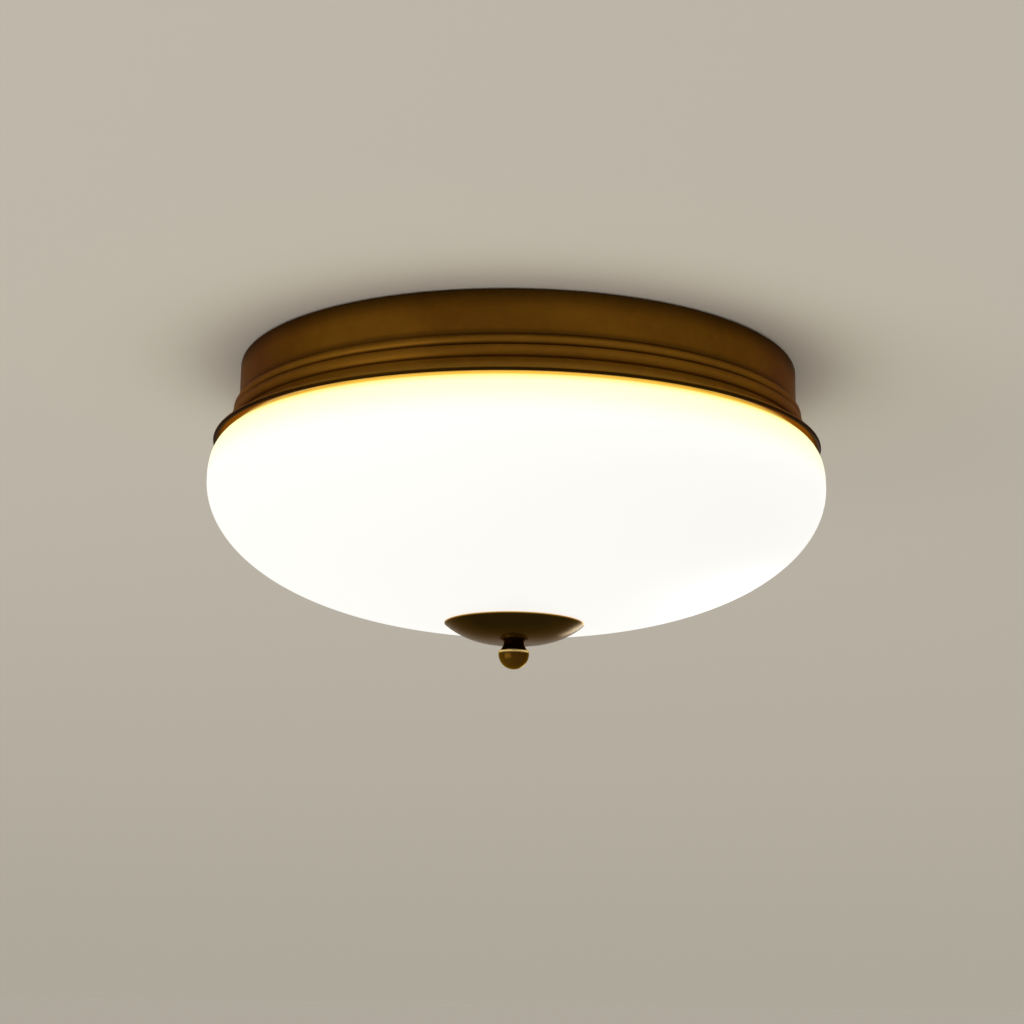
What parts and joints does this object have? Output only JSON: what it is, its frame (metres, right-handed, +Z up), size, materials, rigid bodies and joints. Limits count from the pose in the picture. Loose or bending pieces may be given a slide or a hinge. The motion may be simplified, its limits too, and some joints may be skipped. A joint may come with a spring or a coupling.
{
  "type": "flush ceiling light",
  "caption": "Flush ceiling light: shallow opal glass bowl hung under a spun bronze pan by a dished cap and ball finial on a central threaded stem.",
  "frame": {"origin": "centre of the ceiling screws, in the plane where the pan and the strap meet the ceiling", "axes": "+Z up into the ceiling, along the stem; the two ceiling screws and the pan screws lie along Y, and the two bulbs point along +X and -X"},
  "size_m": [0.3503, 0.3504, 0.1703],
  "materials": {
    "aged_bronze": "dark antique bronze, spun and lacquered, warmer where rubbed",
    "aged_brass": "turned antique brass, darkened in the neck",
    "glass_wool": "pale fibrous heat pad",
    "zinc_plate": "zinc-plated sheet steel",
    "zinc_screw": "bright zinc-plated steel",
    "felt": "soft pale gasket",
    "felt_dark": "soft dark seal",
    "stem_brass": "plain machined brass",
    "porcelain": "white glazed porcelain",
    "contact_copper": "tinned or bare copper alloy",
    "white_plastic": "white moulded plastic",
    "black_rubber": "black rubber",
    "green_screw": "green-dyed steel",
    "brown_lead": "brown lead insulation",
    "blue_lead": "blue lead insulation",
    "green_lead": "green and yellow lead insulation",
    "frosted_bulb": "frosted, glowing warm white",
    "bulb_cap": "bright drawn shell",
    "black_glass": "black insulating glass",
    "solder": "dull solder",
    "opal_glass": "lit white opal glass, glossy outside",
    "nylon": "natural nylon"
  },
  "bodies": {
    "fitting": {"ceiling_pan": "aged_bronze", "insulation_pad": "glass_wool", "mounting_strap": "zinc_plate", "pan_screws": "zinc_screw", "rim_gasket": "felt", "stem": "stem_brass", "stem_nuts": "zinc_screw", "stem_lock_washer": "zinc_screw", "lampholder_bridge": "zinc_plate", "lampholder_body_1": "porcelain", "lampholder_body_2": "porcelain", "lampholder_shell_1": "stem_brass", "lampholder_shell_2": "stem_brass", "lampholder_contact_1": "contact_copper", "lampholder_contact_2": "contact_copper", "lampholder_screws": "zinc_screw", "terminal_block": "white_plastic", "terminal_sleeves": "stem_brass", "terminal_screws": "zinc_screw", "terminal_block_screw": "zinc_screw", "cable_grommet": "black_rubber", "earth_screw": "green_screw", "earth_eyelet": "contact_copper", "live_wires": "brown_lead", "neutral_wires": "blue_lead", "earth_wire": "green_lead"},
    "bowl": {"glass_bowl": "opal_glass", "bowl_bushing": "nylon"},
    "cap": {"cap_dish": "aged_bronze", "cap_seal_ring": "felt_dark"},
    "finial": {"finial": "aged_brass"},
    "bulb_1": {"bulb_glass_1": "frosted_bulb", "bulb_screw_cap_1": "bulb_cap", "bulb_insulator_1": "black_glass", "bulb_contact_1": "solder"},
    "bulb_2": {"bulb_glass_2": "frosted_bulb", "bulb_screw_cap_2": "bulb_cap", "bulb_insulator_2": "black_glass", "bulb_contact_2": "solder"}
  },
  "joints": [
    {"name": "bowl_lower", "type": "slide", "parent": "fitting", "child": "bowl", "axis": [0, 0, -1], "range_m": [0, 0.16]},
    {"name": "cap_lower", "type": "slide", "parent": "bowl", "child": "cap", "axis": [0, 0, -1], "range_m": [0, 0.0094]},
    {"name": "finial_turn", "type": "hinge", "parent": "cap", "child": "finial", "pos_m": [0, 0, -0.16], "axis": [0, 0, -1], "range_deg": [0, 3390]},
    {"name": "bulb_1_unscrew", "type": "slide", "parent": "fitting", "child": "bulb_1", "axis": [1, 0, 0], "range_m": [0, 0.018]},
    {"name": "bulb_2_unscrew", "type": "slide", "parent": "fitting", "child": "bulb_2", "axis": [-1, 0, 0], "range_m": [0, 0.018]}
  ],
  "couplings": [
    {"joint": "finial_turn", "follows": "cap_lower", "rad_per_m": 6283.2}
  ]
}
